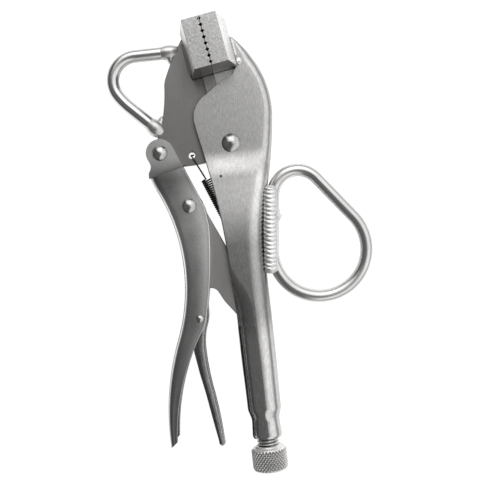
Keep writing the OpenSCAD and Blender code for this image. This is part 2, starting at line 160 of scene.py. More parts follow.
class Shell:
    """Vertices and faces of one piece, in millimetres, collected from several surfaces."""

    def __init__(self):
        self.verts, self.faces = [], []

    def add(self, verts, faces):
        base = len(self.verts)
        self.verts += [tuple(v) for v in verts]
        self.faces += [tuple(base + i for i in f) for f in faces]
        return self

    def loft(self, rings, closed=False, caps=True):
        """A surface through rings with the same number of points."""
        count, n = len(rings), len(rings[0])
        verts = [p for ring in rings for p in ring]
        faces = []
        for i in range(count if closed else count - 1):
            a, b = i * n, (i + 1) % count * n
            faces += [(a + k, a + (k + 1) % n, b + (k + 1) % n, b + k) for k in range(n)]
        if caps and not closed:
            faces += [tuple(reversed(range(n))), tuple(range((count - 1) * n, count * n))]
        return self.add(verts, faces)

    def slab(self, outline, low, high, holes=()):
        """A plate with the given outline and holes, between two heights."""
        bm = bmesh.new()
        edges = []
        for loop in [outline, *holes]:
            ring = [bm.verts.new((p[0], p[1], low)) for p in loop]
            edges += [bm.edges.new((ring[k], ring[(k + 1) % len(ring)])) for k in range(len(ring))]
        bmesh.ops.triangle_fill(bm, use_beauty=True, edges=edges, normal=(0, 0, 1))
        top = bmesh.ops.extrude_face_region(bm, geom=bm.faces[:])["geom"]
        moved = [g for g in top if isinstance(g, bmesh.types.BMVert)]
        bmesh.ops.translate(bm, vec=(0, 0, high - low), verts=moved)
        bmesh.ops.recalc_face_normals(bm, faces=bm.faces[:])
        bmesh.ops.dissolve_limit(bm, angle_limit=0.001, verts=bm.verts[:], edges=bm.edges[:])
        bm.verts.index_update()
        self.add([v.co for v in bm.verts], [[v.index for v in f.verts] for f in bm.faces])
        bm.free()
        return self

    def tube(self, points, radius, sides=16, closed=False, caps=True):
        """A round rod along points in space; radius is a number or one for each point."""
        pts = [Vector(p) for p in points]
        count = len(pts)
        radii = [radius] * count if isinstance(radius, (int, float)) else radius
        rings, up = [], None
        for i, p in enumerate(pts):
            after = pts[(i + 1) % count] if closed or i < count - 1 else p
            before = pts[i - 1] if closed or i else p
            along = (after - before).normalized()
            if up is None:
                up = along.orthogonal().normalized()
            up = (up - along * up.dot(along)).normalized()
            side = along.cross(up)
            rings.append([
                p + radii[i] * (math.cos(a) * up + math.sin(a) * side)
                for a in (2 * math.pi * k / sides for k in range(sides))
            ])
        return self.loft(rings, closed, caps)

    def turned(self, profile, segments, centre):
        """A surface turned about a vertical axis, from a profile of (radius, height)."""
        rings = []
        for radius, z in profile:
            turns = (2 * math.pi * k / segments for k in range(segments))
            rings.append([(centre[0] + radius * math.cos(a), centre[1] + radius * math.sin(a), z)
                          for a in turns])
        return self.loft(rings)


def outward(obj):
    """Faces point outwards."""
    bm = bmesh.new()
    bm.from_mesh(obj.data)
    bmesh.ops.recalc_face_normals(bm, faces=bm.faces[:])
    bm.to_mesh(obj.data)
    bm.free()


def piece(name, shell, material, body, nodes=(), bevel=0.0, sharp=40.0, segments=3):
    """Makes a shell into a finished object that rides on a body and stands for CAD nodes."""
    mesh = bpy.data.meshes.new(name)
    mesh.from_pydata([Vector(v) * MM for v in shell.verts], [], shell.faces)
    obj = bpy.data.objects.new(name, mesh)
    bpy.context.scene.collection.objects.link(obj)
    outward(obj)
    mesh.materials.append(material)
    mesh.shade_smooth()
    if bevel:
        rounding = obj.modifiers.new("rounded_edges", "BEVEL")
        rounding.width = bevel * MM
        rounding.segments = segments
        rounding.limit_method = "ANGLE"
        rounding.angle_limit = math.radians(28)
        rounding.harden_normals = True
    elif sharp:
        mesh.set_sharp_from_angle(angle=math.radians(sharp))
        flat = obj.modifiers.new("flat_normals", "WEIGHTED_NORMAL")
        flat.keep_sharp = True
    if body:
        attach(obj, body)
    if nodes:
        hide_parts(*nodes)
    return obj


# ---------------------------------------------------------------- materials

class Nodes:
    """A short way to write a material's node tree."""

    def __init__(self, name):
        self.material = bpy.data.materials.new(name)
        self.material.use_nodes = True
        self.tree = self.material.node_tree
        self.shader = self.tree.nodes["Principled BSDF"]

    def add(self, kind, **settings):
        node = self.tree.nodes.new("ShaderNode" + kind)
        for key, value in settings.items():
            if key in node.inputs:
                node.inputs[key].default_value = value
            else:
                setattr(node, key, value)
        return node

    def link(self, source, target):
        self.tree.links.new(source, target)

    def coordinates(self, scale, turn=0.0):
        """Object coordinates, stretched by scale and turned about Z."""
        place = self.add("TexCoord")
        turned = self.add("Mapping", vector_type="POINT")
        turned.inputs["Rotation"].default_value = (0, 0, turn)
        stretched = self.add("Mapping", vector_type="POINT")
        stretched.inputs["Scale"].default_value = scale
        self.link(place.outputs["Object"], turned.inputs["Vector"])
        self.link(turned.outputs["Vector"], stretched.inputs["Vector"])
        return stretched.outputs["Vector"]

    def millimetres(self):
        """Object coordinates in millimetres."""
        return self.coordinates((1 / MM, 1 / MM, 1 / MM))

    def distance_from(self, place):
        """How far a point of the surface is from a place, in metres."""
        node = self.add("VectorMath", operation="DISTANCE")
        self.link(self.coordinates((1, 1, 1)), node.inputs[0])
        node.inputs[1].default_value = place
        return node.outputs["Value"]

    def noise(self, scale, turn=0.0, detail=3.0, roughness=0.6):
        node = self.add("TexNoise", Scale=1.0, Detail=detail, Roughness=roughness)
        self.link(self.coordinates(scale, turn), node.inputs["Vector"])
        return node.outputs["Fac"]

    def ramp(self, source, low, high, at=(0.3, 0.7)):
        """Maps a value to a span of numbers."""
        node = self.add("MapRange")
        node.inputs["From Min"].default_value, node.inputs["From Max"].default_value = at
        node.inputs["To Min"].default_value, node.inputs["To Max"].default_value = low, high
        self.link(source, node.inputs["Value"])
        return node.outputs["Result"]

    def maths(self, operation, first, second):
        node = self.add("Math", operation=operation)
        for socket, value in zip(node.inputs, (first, second)):
            if isinstance(value, (int, float)):
                socket.default_value = value
            else:
                self.link(value, socket)
        return node.outputs["Value"]

    def hollows(self, reach_mm, tone, at, high=1.0, samples=4):
        """A number that falls from high in the open to tone in hollows as deep as reach_mm: it paints shade
        there.
        """
        node = self.add("AmbientOcclusion", samples=samples)
        node.inputs["Distance"].default_value = reach_mm * MM
        return self.ramp(node.outputs["AO"], tone, high, at)

    def mixed(self, layers):
        """1, raised and lowered by each noise layer's share."""
        total = 1.0
        for source, share in layers:
            total = self.maths("ADD", self.ramp(source, -share, share), total)
        return total

    def colours(self, source, stops):
        node = self.add("ValToRGB")
        while len(node.color_ramp.elements) < len(stops):
            node.color_ramp.elements.new(0.5)
        for element, (place, colour) in zip(node.color_ramp.elements, stops):
            element.position = place
            element.color = (*colour, 1)
        self.link(source, node.inputs["Fac"])
        return node.outputs["Color"]

    def shares(self, vector, axis, stops):
        """A number that changes along an axis, from a list of (place, number), lowest place first."""
        split = self.add("SeparateXYZ")
        self.link(vector, split.inputs["Vector"])
        low, high = stops[0][0], stops[-1][0]
        most = max(share for _, share in stops)
        place = self.ramp(split.outputs[axis], 0.0, 1.0, (low, high))
        greys = [((at - low) / (high - low), (share / most,) * 3) for at, share in stops]
        return self.maths("MULTIPLY", self.colours(place, greys), most)

    def bump(self, source, strength, distance, below=None):
        node = self.add("Bump", Strength=strength, Distance=distance * MM)
        self.link(source, node.inputs["Height"])
        if below is not None:
            self.link(below, node.inputs["Normal"])
        return node.outputs["Normal"]


def plated_steel(name, tone, rough, streak=0.1, cloud=0.06, speck=0.08, turn=0.0, warm=0.02,
                 grain_len=4.0, speck_size=0.6, hollow_mm=2.5, hollow_tone=0.6, hollow_to=0.75,
                 metal=1.0, dent_shade_at=None, painted_light_along_y=(), height=(), painted_light_by_facing=(), gloss=()):
    """Nickel-plated steel: brushed streaks, soft clouds, fine specks, and painted shade in its corners.
    mark is the place of a small punch dent, whose shade is painted as a dark dot. dull and height
    paint light and shade into the tone, as its share at places along Y and along Z, and facing
    paints it by how far the surface faces up. gloss lists the roughness's share along Y."""
    n = Nodes(name)
    streaks = n.noise((1500, 1500 / grain_len, 1500), turn, 4, 0.65)
    clouds = n.noise((110, 60, 110), turn, 3, 0.55)
    specks = n.noise([1000 / speck_size] * 3, turn, 2, 0.75)
    light = n.mixed([(streaks, streak), (clouds, cloud), (specks, speck)])
    # Painted shade: the tone falls in corners and hollows as deep as hollow_mm
    shade = n.maths("MULTIPLY", light, n.hollows(hollow_mm, hollow_tone, (0.2, hollow_to)))
    # Painted light and shade: the tone's share at places along Y and along Z
    for axis, stops in (("Y", painted_light_along_y), ("Z", height)):
        if stops:
            shade = n.maths("MULTIPLY", shade, n.shares(n.millimetres(), axis, stops))
    # Painted light and shade: the tone's share by how far the surface faces up
    if painted_light_by_facing:
        normal = n.add("NewGeometry").outputs["Normal"]
        shade = n.maths("MULTIPLY", shade, n.shares(normal, "Z", painted_light_by_facing))
    # Painted shade: a small dark dot in place of a punch dent
    if dent_shade_at:
        distance = n.distance_from([c * MM for c in dent_shade_at])
        shade = n.maths("MULTIPLY", shade, n.ramp(distance, 0.15, 1.0, (0.5 * MM, 0.9 * MM)))
    # The ramp ends at 1, so it spans twice the tone and shade goes in halved
    double = [2 * tone * (1 - warm * part) for part in (0, 0.5, 1)]
    tones = n.colours(n.maths("MULTIPLY", shade, 0.5), [(0.0, (0, 0, 0)), (1.0, double)])
    n.link(tones, n.shader.inputs["Base Color"])
    n.shader.inputs["Metallic"].default_value = metal
    roughness = n.ramp(clouds, rough + 0.05, rough - 0.05)
    if gloss:
        roughness = n.maths("MULTIPLY", roughness, n.shares(n.millimetres(), "Y", gloss))
    n.link(roughness, n.shader.inputs["Roughness"])
    grain_bump = n.bump(streaks, 0.35, 0.02)
    n.link(n.bump(specks, 0.5, 0.012, grain_bump), n.shader.inputs["Normal"])
    return n.material


def polished_steel(name):
    """Bright rivet steel with light scuffs."""
    n = Nodes(name)
    scuff = n.noise((700, 240, 700), 0.6, 4, 0.7)
    tones = n.colours(scuff, [(0.3, (0.42, 0.41, 0.4)), (0.6, (0.66, 0.66, 0.65))])
    n.link(tones, n.shader.inputs["Base Color"])
    n.shader.inputs["Metallic"].default_value = 1.0
    n.link(n.ramp(scuff, 0.14, 0.22), n.shader.inputs["Roughness"])
    dents = n.noise((420, 420, 420), 0.3, 2, 0.5)
    n.link(n.bump(dents, 0.35, 0.2, n.bump(scuff, 0.2, 0.01)), n.shader.inputs["Normal"])
    return n.material


def weld_steel(name):
    """A plated weld: bright, with small pits, and painted shade in the hollows between its ripples."""
    n = Nodes(name)
    lumps = n.noise((500, 500, 500), 0, 3, 0.55)
    pits = n.noise((1100, 1100, 1100), 0, 3, 0.7)
    # Painted shade in the hollows between the ripples
    painted_valley_shade = n.hollows(1.2, 0.4, (0.3, 0.9))
    shade = n.maths("MULTIPLY", n.ramp(pits, 0.75, 1.0, (0.28, 0.45)), painted_valley_shade)
    tones = n.colours(shade, [(0.0, (0, 0, 0)), (1.0, (0.9, 0.895, 0.89))])
    n.link(tones, n.shader.inputs["Base Color"])
    n.shader.inputs["Metallic"].default_value = 0.7
    n.link(n.ramp(pits, 0.34, 0.24), n.shader.inputs["Roughness"])
    n.link(n.bump(lumps, 0.3, 0.05), n.shader.inputs["Normal"])
    return n.material


def spring_steel(name):
    """Dark oiled spring wire."""
    n = Nodes(name)
    film = n.noise((900, 900, 900), 0, 3, 0.6)
    tones = n.colours(film, [(0.3, (0.02, 0.02, 0.02)), (0.7, (0.11, 0.105, 0.1))])
    n.link(tones, n.shader.inputs["Base Color"])
    n.shader.inputs["Metallic"].default_value = 0.85
    n.link(n.ramp(film, 0.28, 0.45), n.shader.inputs["Roughness"])
    return n.material


def floor_paint(name):
    """Matt floor that glows like a light table: plain white to the camera, and dimmer in
    reflections, most of all close to the object."""
    n = Nodes(name)
    cloud = n.noise((6, 6, 6), 0, 2, 0.5)
    white = n.colours(cloud, [(0.3, (0.92, 0.92, 0.92)), (0.7, (0.94, 0.94, 0.94))])
    grey = n.colours(cloud, [(0.3, (0.24, 0.24, 0.24)), (0.7, (0.25, 0.25, 0.25))])
    n.link(grey, n.shader.inputs["Base Color"])
    n.link(white, n.shader.inputs["Emission Color"])
    under = n.hollows(70, 0.5, (0.45, 1.0), high=1.05, samples=8)
    far = n.ramp(n.distance_from((*VIEW_CENTRE, FLOOR_Z)), 1.0, 0.35, (0.13, 0.26))
    seen = n.add("LightPath").outputs["Is Camera Ray"]
    glow = n.maths("MAXIMUM", n.maths("MULTIPLY", under, far), seen)
    n.link(glow, n.shader.inputs["Emission Strength"])
    n.shader.inputs["Roughness"].default_value = 0.9
    return n.material


# The lists of shares are painted light and shade, fitted to how the real tool looks from above, in the
# stage's light
# Painted shade and highlight at places along the handle, painted shade on faces that don't face up, and a
# punch dent's painted shade
SHEET_STEEL = plated_steel(
    "satin_sheet", 0.66, 0.28, streak=0.16, dent_shade_at=(0.35, -62.9, 7.6),
    painted_light_along_y=((-144, 1.1), (-134, 0.66), (-98, 0.66), (-88, 0.95), (-78, 1.3), (-66, 1.35), (-60, 1.0),
          (-48, 0.95), (-20, 0.9)),
    painted_light_by_facing=((0.0, 0.78), (0.6, 0.78), (0.95, 1.0)),
    gloss=((-142, 0.6), (-132, 1.0)))
# Painted shade and highlight at places along the lever, a painted highlight on faces that don't face up, and
# deep painted shade in its hollows
LEVER_STEEL = plated_steel(
    "lever_sheet", 0.6, 0.3, streak=0.05, speck=0.1, turn=0.25, grain_len=2.0,
    hollow_mm=4, hollow_tone=0.3, hollow_to=0.96,
    painted_light_along_y=((-190, 0.6), (-150, 0.75), (-108, 1.1), (-95, 1.3), (-84, 1.25), (-74, 1.1), (-67, 0.75),
          (-62, 0.5), (-58, 0.6), (-51, 1.2)),
    painted_light_by_facing=((0.0, 1.5), (0.55, 1.5), (0.75, 1.0)))
# A darker copy of the plated steel, as painted shade where the trigger sits between lever and grip, with
# painted highlights on its sloping faces
RELEASE_SHADED_STEEL = plated_steel(
    "release_sheet", 0.24, 0.22, streak=0.3, speck=0.2, turn=-0.2,
    painted_light_by_facing=((0.0, 1.0), (0.2, 2.2), (0.75, 2.2), (0.93, 1.0)))
# Painted light on faces more than 3 mm from the middle plane, such as the jaw plate's neck and the link
PLATE_STEEL = plated_steel(
    "jaw_plate_steel", 0.3, 0.36, streak=0.04, warm=0.05, speck=0.05,
    height=((-3.0, 1.6), (-2.8, 1.0), (2.8, 1.0), (3.0, 1.6)))
# A lighter copy of the plated steel, with less painted shade in its corners: painted light on the tang
TANG_LIT_STEEL = plated_steel("tang_steel", 0.95, 0.4, streak=0.1, hollow_tone=0.8)
# Painted highlight on the blocks' sloping faces, painted shade on their upright sides, and painted shade in
# hollows as deep as 6 mm
BLOCK_STEEL = plated_steel(
    "block_steel", 0.58, 0.34, streak=0.12, turn=-GRIP_TILT, speck=0.3, speck_size=1.0, hollow_mm=6,
    painted_light_by_facing=((0.0, 0.6), (0.04, 0.6), (0.09, 1.65), (0.5, 1.65), (0.8, 1.0)))
ROD_STEEL = plated_steel("rod_steel", 0.76, 0.22, streak=0.05, speck=0.05, grain_len=1.0)
LOOP_WELD_STEEL = plated_steel("loop_weld_steel", 0.72, 0.36, streak=0.05, speck=0.08, grain_len=1.0)
# Deep painted shade in the thread's grooves
SCREW_STEEL = plated_steel(
    "screw_steel", 0.95, 0.2, streak=0.06, speck=0.05, grain_len=1.0,
    hollow_mm=1.2, hollow_tone=0.02, hollow_to=0.9, metal=0.75)
# Deep painted shade in the knurl's valleys
KNOB_STEEL = plated_steel(
    "knurl_steel", 0.97, 0.2, streak=0.06, speck=0.05, grain_len=1.0,
    hollow_mm=1.0, hollow_tone=0.0, hollow_to=0.9, metal=0.45)
RIVET_STEEL = polished_steel("polished_rivet")
WELD_STEEL = weld_steel("weld_steel")
SPRING_STEEL = spring_steel("spring_wire")


# ---------------------------------------------------------------- folded sheet

def channel_section(depth, half, sheet, bend, curl=2.0, curl_r=GRIP_HALF, crown=0.0):
    """Closed outline (u, z) of a folded channel. u runs from its back to its free edges, which
    curl inwards by an angle on a radius; bend is the outer radius of the folds at the back, and
    crown is how far the cheeks bulge."""
    lip, bends, curls = 0.45, 9, 7
    bend = min(bend, 0.45 * depth, half)
    wall = min(sheet, 0.35 * depth)
    inner = max(bend - wall, 0.25)
    curl_a = math.radians(curl)
    start = depth - curl_r * math.sin(curl_a) - lip * math.cos(curl_a)
    hub = vec(start, half - curl_r)

    def turned(centre, radius, low, high, count):
        return [centre + radius * vec(math.sin(a), math.cos(a)) for a in np.linspace(low, high, count)]

    bulge = [vec(mix(start, bend, f), half + 4 * crown * f * (1 - f)) for f in np.linspace(0, 1, 9)[1:-1]]
    fold = turned(vec(bend, half - bend), bend, 0, -math.pi / 2, bends)
    outer = turned(hub, curl_r, curl_a, 0, curls) + bulge + fold
    corner = vec(wall + inner, half - wall - inner)
    inside = turned(corner, inner, -math.pi / 2, 0, bends) + turned(hub, curl_r - wall, 0, curl_a, curls)
    along, out = vec(math.cos(curl_a), -math.sin(curl_a)), vec(math.sin(curl_a), math.cos(curl_a))
    tip = inside[-1]
    end = [tip + lip * (0.7 * along + 0.3 * out), tip + lip * (along + out),
           outer[0] + lip * (along - out), outer[0] + lip * (0.7 * along - 0.3 * out)]
    front = inside + end + outer
    back = [vec(p[0], -p[1]) for p in reversed(front)]
    return front + back


def apart(a, b):
    return np.linalg.norm(b - a)


def rib(back, edge, section):
    """A channel section stood on the line from a back point to a free-edge point."""
    along = (edge - back) / apart(back, edge)
    return [(*(back + along * p[0]), p[1]) for p in section]


def handle_half(y):
    """Half the handle's width: it widens below the main rivet, steeply at first, then gently."""
    return mix(NARROW_HALF, GRIP_HALF, 0.5 * ease(y, -50.5, -64) + 0.5 * ease(y, -54, -98))


def handle_rib(back, edge):
    half = handle_half((back[1] + edge[1]) / 2)
    bend = mix(4.2, half - BACK_FLAT, ease(back[1], -28, -60))
    section = channel_section(apart(back, edge), half, SHEET, bend, mouth_curl(edge[1]))
    return rib(back, edge, section)


def tube_radius(y):
    """Outer radius of the grip's round end, swaged down before its mouth."""
    swage = 0.35 * ease(y, -150, -178) + 1.4 * ease(y, -179, -185.5) - 0.4 * ease(y, -186, -193)
    return GRIP_HALF - swage - 0.3 * ease(y, -193, TUBE_END_Y)


def mouth_curl(y):
    """How far the cheeks curl round: open to the link's slot, then closed to a seam."""
    slot = 65.6 * ease(y, -104, -131)
    return 2 + slot + 21.6 * ease(y, MOUTH_END_Y + 2.2, MOUTH_END_Y)


def tube_rib(y, back_x, edge_x):
    """Rib square to the screw's axis, where the channel closes and becomes a tube."""
    closing = ease(y, -118, TUBE_FROM_Y)
    radius = mix(GRIP_HALF, tube_radius(y), ease(y, -133, -134))
    bend = mix(radius - BACK_FLAT, radius, closing)
    wall = mix(SHEET, 1.3, ease(y, -178, -184))
    section = channel_section(back_x - edge_x, radius, wall, bend, mouth_curl(y), radius)
    return rib(vec(back_x, y), vec(edge_x, y), section)


def handle_rings():
    foot = grip_point(FIXED_BLOCK_T - 0.4, BLOCK_LOW + 1)
    tip = grip_point(FIXED_BLOCK_T - 0.4, 3.2)
    rings = []
    for f in np.linspace(0, 1, 16):
        rings.append(handle_rib(HANDLE_BACK.at(143.5 - 12.5 * f)[0], tip + f * (foot - tip)))
    for f in np.linspace(0, 1, 5)[1:]:
        rings.append(handle_rib(HANDLE_BACK.at(131 - 2.5 * f)[0], foot + f * (HANDLE_EDGE.start - foot)))
    for f in np.linspace(0, 1, 28)[1:]:
        rings.append(handle_rib(HANDLE_BACK.at(128.5 - 30.5 * f)[0], HANDLE_EDGE.at(33.1 * f)[0]))
    for f in np.linspace(0, 1, 60)[1:]:
        rings.append(handle_rib(HANDLE_BACK.at(98 - 66 * f)[0], HANDLE_EDGE.at(33.1 + 66 * f)[0]))
    return rings


def grip_edge_x(y):
    """Left side of the grip where the cheeks curl in and meet as a tube."""
    joint = HANDLE_EDGE.at(99.1)[0]
    return mix(joint[0], SCREW_X - GRIP_HALF, ease(y, joint[1], TUBE_FROM_Y))


def grip_rings():
    first = HANDLE_BACK.at(32)[0][1]
    rings = []
    for y in np.linspace(first - 1, TUBE_FROM_Y, 34):
        distance = y - HANDLE_BACK.start[1]
        rings.append(tube_rib(y, HANDLE_BACK.at(distance)[0][0], grip_edge_x(y)))
    places = list(np.linspace(-134, -137, 4)) + list(np.linspace(-137.3, -139.8, 9))
    places += list(np.linspace(-142, -176, 18)) + list(np.linspace(-177, -186, 18))
    places += [-187, -190, -192.5, -193.1, -193.4, -193.7, -193.9, TUBE_END_Y]
    for y in places:
        rings.append(tube_rib(y, SCREW_X + tube_radius(y), SCREW_X - tube_radius(y)))
    return rings


def make_handle():
    shell = Shell().loft(handle_rings() + grip_rings())
    return piece("handle_shell", shell, SHEET_STEEL, "handle_frame", ["fixed_handle"],
                 sharp=60)


def make_lever():
    shoulder, bulge = vec(-18.6, -54), vec(-9.3, -77)
    places = [*np.linspace(0, 6, 25), *np.linspace(7, 24, 16)]
    stations = [(d, shoulder + d / 24 * (bulge - shoulder)) for d in places]
    stations += [(24 + 115.2 * f, LEVER_EDGE.at(112.4 * f)[0]) for f in np.linspace(0.035, 1, 72)]
    rings = []
    for d, edge in stations:
        back = LEVER_BACK.at(d)[0]
        half = mix(NARROW_HALF - 0.3, LEVER_HALF, ease(back[1], -60.28, -60.32))
        crown = mix(0.25, -0.06, ease(d, 70, 125))
        section = channel_section(apart(back, edge), half, SHEET, 4.1, crown=crown)
        rings.append(rib(back, edge, section))
    shell = Shell().loft(rings)
    ear = lever_ear()
    for side in (1, -1):
        low, high = sorted((side * (NARROW_HALF - SHEET), side * NARROW_HALF))
        shell.slab(ear, low, high)
    return piece("hand_lever", shell, LEVER_STEEL, "hand_lever", ["lever_handle"],
                 bevel=0.25)


def lever_ear():
    """Outline of the ear's cheek: round about its rivet, with a hollow where the spine begins."""
    centre = vec(*EAR_PIVOT)
    arc = [centre + 6.9 * unit(a) for a in np.linspace(22, 214, 30)]
    return arc + [vec(-33.5, -54.2), vec(-33.9, -55.9), vec(-34.9, -57.6), vec(-35, -60.2),
                  vec(-17.2, -57.4)]


def make_release():
    stations = [(0, -14.9, -194.4), (3, -15.3, -191.4), (13.5, -17.0, -180.8), (25, -18.8, -169.2),
                (35.5, -20.8, -158.7), (46, -22.4, -148), (55, -22.7, -139), (63, -22.2, -131),
                (69, -21.2, -124), (73, -20, -118.6)]
    distances, xs, ys = zip(*stations)
    rings = []
    for d in np.linspace(0, 73, 62):
        edge = vec(np.interp(d, distances, xs), np.interp(d, distances, ys))
        back = RELEASE_BACK.at(d)[0]
        half = RELEASE_HALF - 0.8 * ease(d, 8, 0)
        section = channel_section(apart(back, edge), half, RELEASE_SHEET, 2.2, crown=0.1)
        rings.append(rib(back, edge, section))
    shell = Shell().loft(rings)
    tip = [(max(1.7 * math.cos(a), 0.01), 3.9 * math.sin(a))
           for a in np.linspace(math.pi / 2, -math.pi / 2, 15)]
    shell.turned(tip, 24, (-13.55, -194.4))
    return piece("release_trigger", shell, RELEASE_SHADED_STEEL, "release", ["release_lever"],
                 sharp=60)


# ---------------------------------------------------------------- jaws

def block_outline(thickness, flat_half):
    """Cross-section (s, z) of a jaw block, its face at s = 0."""
    end = BLOCK_HALF_WIDTH
    return [(0.05, -end), (BLOCK_END_T, -end), (thickness, -flat_half), (thickness, flat_half),
            (BLOCK_END_T, end), (0.05, end)]


def make_block(name, node, thickness, flat_half, side, body):
    """A block whose toothed face is a zigzag of V grooves, built of slices along the grip."""
    stops = []
    count = int(BLOCK_LEN / TOOTH_PITCH)
    for i in range(count):
        centre = (i - (count - 1) / 2) * TOOTH_PITCH
        stops += [(centre - GROOVE_DEPTH, 0), (centre, GROOVE_DEPTH), (centre + GROOVE_DEPTH, 0)]
    stops = [(BLOCK_LOW, 0)] + stops + [(-BLOCK_LOW, 0)]
    rings = []
    for t, depth in stops:
        ring = []
        for s, z in block_outline(thickness, flat_half):
            p = grip_point(side * (s + depth if s < 1 else s), t)
            ring.append((p[0], p[1], z))
        rings.append(ring)
    shell = Shell().loft(rings)
    return piece(name, shell, BLOCK_STEEL, body, [node], bevel=0.22, segments=2)


def make_jaw_plate():
    outline = [p for p, _ in PLATE_EDGE.points(1.0)]
    outline += [vec(-34, -50), vec(-26, -53.9), vec(-18.5, -55.5), vec(-10.8, -55.4), vec(1, -54.2),
                vec(6, -50), grip_point(-0.5, -38), grip_point(-0.5, BLOCK_LOW),
                grip_point(-MOVING_BLOCK_T, BLOCK_LOW)]
    hole = [vec(-13, -50.6) + 1.75 * unit(-a) for a in range(0, 360, 15)]
    shell = Shell().slab(outline, -2.5, 2.5, [hole])
    neck = [grip_point(-0.15, BLOCK_LOW), grip_point(-5.7, BLOCK_LOW), grip_point(-5.7, -34),
            grip_point(-0.15, -40)]
    shell.slab(neck, -3.3, 3.3)
    return piece("jaw_plate", shell, PLATE_STEEL, "moving_jaw", ["moving_jaw_plate"],
                 bevel=0.4)


def make_tang():
    back = [HANDLE_BACK.at(d)[0] for d in np.linspace(138, 108, 16)]
    inner = [vec(p[0] - 3.4, p[1]) for p in back]
    outline = [grip_point(0.15, BLOCK_LOW), grip_point(FIXED_BLOCK_T, BLOCK_LOW)] + inner[4:]
    outline += [vec(20, -38), grip_point(0.15, -32)]
    shell = Shell().slab(outline, -3.6, 3.6)
    return piece("jaw_tang", shell, TANG_LIT_STEEL, "handle_frame", ["fixed_jaw_tang"],
                 bevel=0.3)


# ---------------------------------------------------------------- rods, welds, rivets

def ring_path():
    """The pull ring's centre line: two circles joined by their tangents."""
    big, small, big_r, small_r = vec(45.2, -103.9), vec(37.5, -75.9), 23.5, 12.5
    between = small - big
    along = math.degrees(math.atan2(between[1], between[0]))
    reach = np.linalg.norm(between)
    tangent = math.degrees(math.acos((big_r - small_r) / reach))
    straight = math.sqrt(reach ** 2 - (big_r - small_r) ** 2)
    start = big + big_r * unit(along + tangent)
    arcs = [(big_r * math.radians(360 - 2 * tangent), 360 - 2 * tangent), (straight, 0),
            (small_r * math.radians(2 * tangent), 2 * tangent), (straight, 0)]
    return Path(start, along + tangent + 90, arcs)


def make_ring():
    points = [(*p, 0) for p, _ in ring_path().points(1.3)[:-1]]
    shell = Shell().tube(points, ROD_R, 24, closed=True)
    return piece("pull_ring_rod", shell, ROD_STEEL, "handle_frame", ["pull_ring"], sharp=0)


def make_loop():
    points = [(*p, 0) for p, _ in LOOP_LINE.points(1.0)]
    shell = Shell().tube(points, ROD_R, 24)
    return piece("jaw_loop_rod", shell, ROD_STEEL, "moving_jaw", ["jaw_loop"], sharp=50)


def bead(shell, start, end, radius, pitch=2.1, ripple=0.08, seed=0.0, bow=1.5, wide=1.0):
    """A weld bead from start to end: overlapping crescents, rounded at both ends. bow is how far
    each crescent bends, and wide is how much wider than high the bead is."""
    sides = 28
    a, b = Vector(start), Vector(end)
    length = (b - a).length
    along = (b - a).normalized()
    up = Vector((0, 0, 1 if a.z >= 0 else -1))
    up = (up - along * up.dot(along)).normalized()
    side = along.cross(up)
    rings = []
    total = length + 2 * radius
    count = int(total / (pitch / 12))
    for i in range(count + 1):
        s = total * i / count - radius
        over = max(-s, s - length, 0) / radius
        size = radius * math.sqrt(max(1 - over ** 2, 0.0004))
        ring = []
        for k in range(sides):
            turn = 2 * math.pi * k / sides
            wander = noise.noise(Vector((s * 0.4 + seed, turn, seed)))
            phase = (s - bow * math.cos(turn) + 0.5 * wander) / pitch % 1
            r = size * (1 + ripple * (phase ** 0.6 * (1 - phase ** 6) - 0.5) * 2 + 0.05 * wander)
            ring.append(a + along * s + r * (math.cos(turn) * up + wide * math.sin(turn) * side))
        rings.append(ring)
    return shell.loft(rings)


def lump(shell, centre, size, seed, rough=0.08):
    """A rounded nugget of weld."""
    rings = []
    for i in range(1, 16):
        lat = math.pi * i / 16
        ring = []
        for k in range(28):
            a = 2 * math.pi * k / 28
            d = Vector((math.sin(lat) * math.cos(a), math.sin(lat) * math.sin(a), math.cos(lat)))
            r = 1 + rough * noise.noise(d * 1.6 + Vector((seed, seed, 0)))
            ring.append([centre[j] + size[j] * d[j] * r for j in range(3)])
        rings.append(ring)
    return shell.loft(rings)


def flare(shell, path, start, end, growth=0.6):
    """A collar of weld along a rod, from nothing at start to its full thickness at end."""
    rings = []
    for f in np.linspace(0, 1, 16):
        point, heading = path.at(start + f * (end - start))
        across = unit(heading + 90)
        radius = ROD_R + 0.03 + growth * ease(f, 0, 0.5) - (growth + 0.5) * ease(f, 0.55, 1)
        radius += 0.1 * math.sin(9 * f) * ease(f, 0, 0.3)
        rings.append([(*(point + across * radius * math.cos(a)), radius * math.sin(a))
                      for a in np.linspace(0, 2 * math.pi, 28, endpoint=False)])
    return shell.loft(rings)


def melted(obj):
    """Fuses a weld's lumps into one smooth skin."""
    remesh = obj.modifiers.new("melt", "REMESH")
    remesh.mode = "VOXEL"
    remesh.voxel_size = 0.4 * MM
    remesh.use_smooth_shade = True
    smooth = obj.modifiers.new("smooth", "SMOOTH")
    smooth.iterations = 18
    return obj


def weld(name, shell, body, node, material=None):
    """A finished weld in the part's weld finish."""
    return piece(name, shell, material or WELD_STEEL, body, [node], sharp=0)


def seam(s, low, high, z, radius, pitch, seed):
    """Two beads along a block's back, on both sides, at s across the grip line."""
    shell = Shell()
    for side in (1, -1):
        start, end = (*grip_point(s, low), side * z), (*grip_point(s, high), side * z)
        bead(shell, start, end, radius, pitch, seed=side + seed)
    return shell


